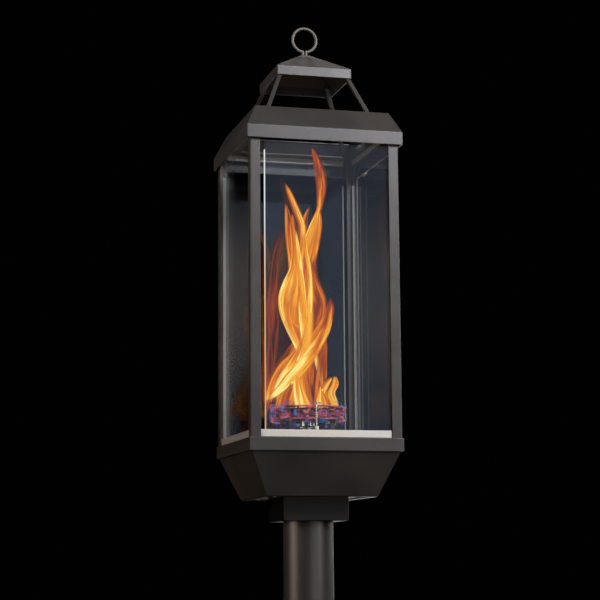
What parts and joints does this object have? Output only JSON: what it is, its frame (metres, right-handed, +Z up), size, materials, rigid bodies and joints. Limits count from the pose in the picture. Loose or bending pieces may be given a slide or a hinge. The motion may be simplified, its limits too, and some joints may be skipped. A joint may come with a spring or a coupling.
{
  "type": "gas lantern torch",
  "caption": "Garden gas torch: square glass flame lantern with swirl air slots and a vented roof crown on a round steel post with a base plate.",
  "frame": {"origin": "middle of the base plate's underside, on the ground", "axes": "+Z up along the post, -Y towards the lantern's front, +X to its right as seen from the front"},
  "size_m": [0.3, 0.3, 2.0124],
  "materials": {
    "dark_bronze_coat": "textured dark bronze powder coat",
    "black_pipe": "black varnished steel pipe",
    "zinc_steel": "bright zinc plate",
    "galvanised_sheet": "galvanised sheet",
    "satin_stainless": "satin stainless, brushed along its length",
    "burner_steel": "heat-tinted stainless",
    "bright_steel": "turned stainless",
    "brass": "machined brass",
    "copper": "drawn copper",
    "chrome": "polished chrome",
    "white_ceramic": "glazed ceramic",
    "black_plastic": "moulded heat-proof plastic",
    "red_plastic": "moulded plastic",
    "lead_sleeve": "silicone sleeve",
    "magnet": "ferrite magnet in a steel cup",
    "tempered_glass": "clear, polished edges"
  },
  "bodies": {
    "lantern": {"base_frame": "dark_bronze_coat", "base_gussets": "dark_bronze_coat", "base_plate": "dark_bronze_coat", "burner_deck": "galvanised_sheet", "burner_head": "burner_steel", "burner_legs": "burner_steel", "collar_bolts": "zinc_steel", "collar_set_screws": "zinc_steel", "corner_post_back_left": "dark_bronze_coat", "corner_post_back_right": "dark_bronze_coat", "corner_post_front_left": "dark_bronze_coat", "corner_post_front_right": "dark_bronze_coat", "door_hinge_pins": "zinc_steel", "door_magnet": "magnet", "electrode_ceramic": "white_ceramic", "end_clips": "satin_stainless", "flame_sensor": "copper", "floor_screws": "zinc_steel", "foot_channel_back": "satin_stainless", "foot_channel_front": "satin_stainless", "foot_channel_left": "satin_stainless", "foot_channel_right": "satin_stainless", "gas_riser": "black_pipe", "glass_back": "tempered_glass", "glass_front": "tempered_glass", "glass_left": "tempered_glass", "glass_right": "tempered_glass", "head_channel_back": "satin_stainless", "head_channel_front": "satin_stainless", "head_channel_left": "satin_stainless", "head_channel_right": "satin_stainless", "hopper_floor": "galvanised_sheet", "hopper_shell": "dark_bronze_coat", "igniter_bezel": "chrome", "igniter_body": "black_plastic", "igniter_lead": "lead_sleeve", "inlet_coupling": "black_pipe", "mixer_tube": "bright_steel", "orifice_holder": "brass", "outlet_tube": "copper", "post_collar": "dark_bronze_coat", "post_tube": "dark_bronze_coat", "riser_elbow": "brass", "sensor_lead": "copper", "spark_electrode": "bright_steel", "supply_tube": "copper", "swirl_cage": "burner_steel", "valve_body": "brass"},
    "roof_assembly": {"head_frame": "dark_bronze_coat", "roof_crown": "dark_bronze_coat", "roof_rods": "dark_bronze_coat", "cap": "dark_bronze_coat", "finial_ring": "dark_bronze_coat"},
    "thumbscrew_right": {"thumbscrew_right": "brass"},
    "thumbscrew_back": {"thumbscrew_back": "brass"},
    "valve_plunger": {"valve_plunger": "bright_steel"},
    "control_knob": {"valve_stem": "brass", "control_knob": "black_plastic"},
    "igniter_button": {"igniter_button": "red_plastic"},
    "access_door": {"access_door": "dark_bronze_coat"}
  },
  "joints": [
    {"name": "roof_lift", "type": "slide", "parent": "lantern", "child": "roof_assembly", "axis": [0, 0, 1], "range_m": [0, 0.15]},
    {"name": "thumbscrew_right_turn", "type": "hinge", "parent": "roof_assembly", "child": "thumbscrew_right", "pos_m": [0.122, 0.1075, 1.80975], "axis": [1, 0, 0], "continuous": true},
    {"name": "thumbscrew_back_turn", "type": "hinge", "parent": "roof_assembly", "child": "thumbscrew_back", "pos_m": [-0.1075, 0.122, 1.80975], "axis": [0, 1, 0], "continuous": true},
    {"name": "valve_press", "type": "slide", "parent": "lantern", "child": "valve_plunger", "axis": [-0.917, 0, 0.3988], "range_m": [0, 0.0035], "stiffness_N_per_m": 900, "springref_m": -0.002},
    {"name": "knob_turn", "type": "hinge", "parent": "valve_plunger", "child": "control_knob", "pos_m": [0.09935, 0.032, 1.303], "axis": [0.917, 0, -0.3988], "range_deg": [0, 90]},
    {"name": "igniter_press", "type": "slide", "parent": "lantern", "child": "igniter_button", "axis": [-0.917, 0, 0.3988], "range_m": [0, 0.003], "stiffness_N_per_m": 600, "springref_m": -0.002},
    {"name": "door_swing", "type": "hinge", "parent": "lantern", "child": "access_door", "pos_m": [0, 0.09147, 1.27611], "axis": [-1, 0, 0], "range_deg": [0, 95]}
  ]
}
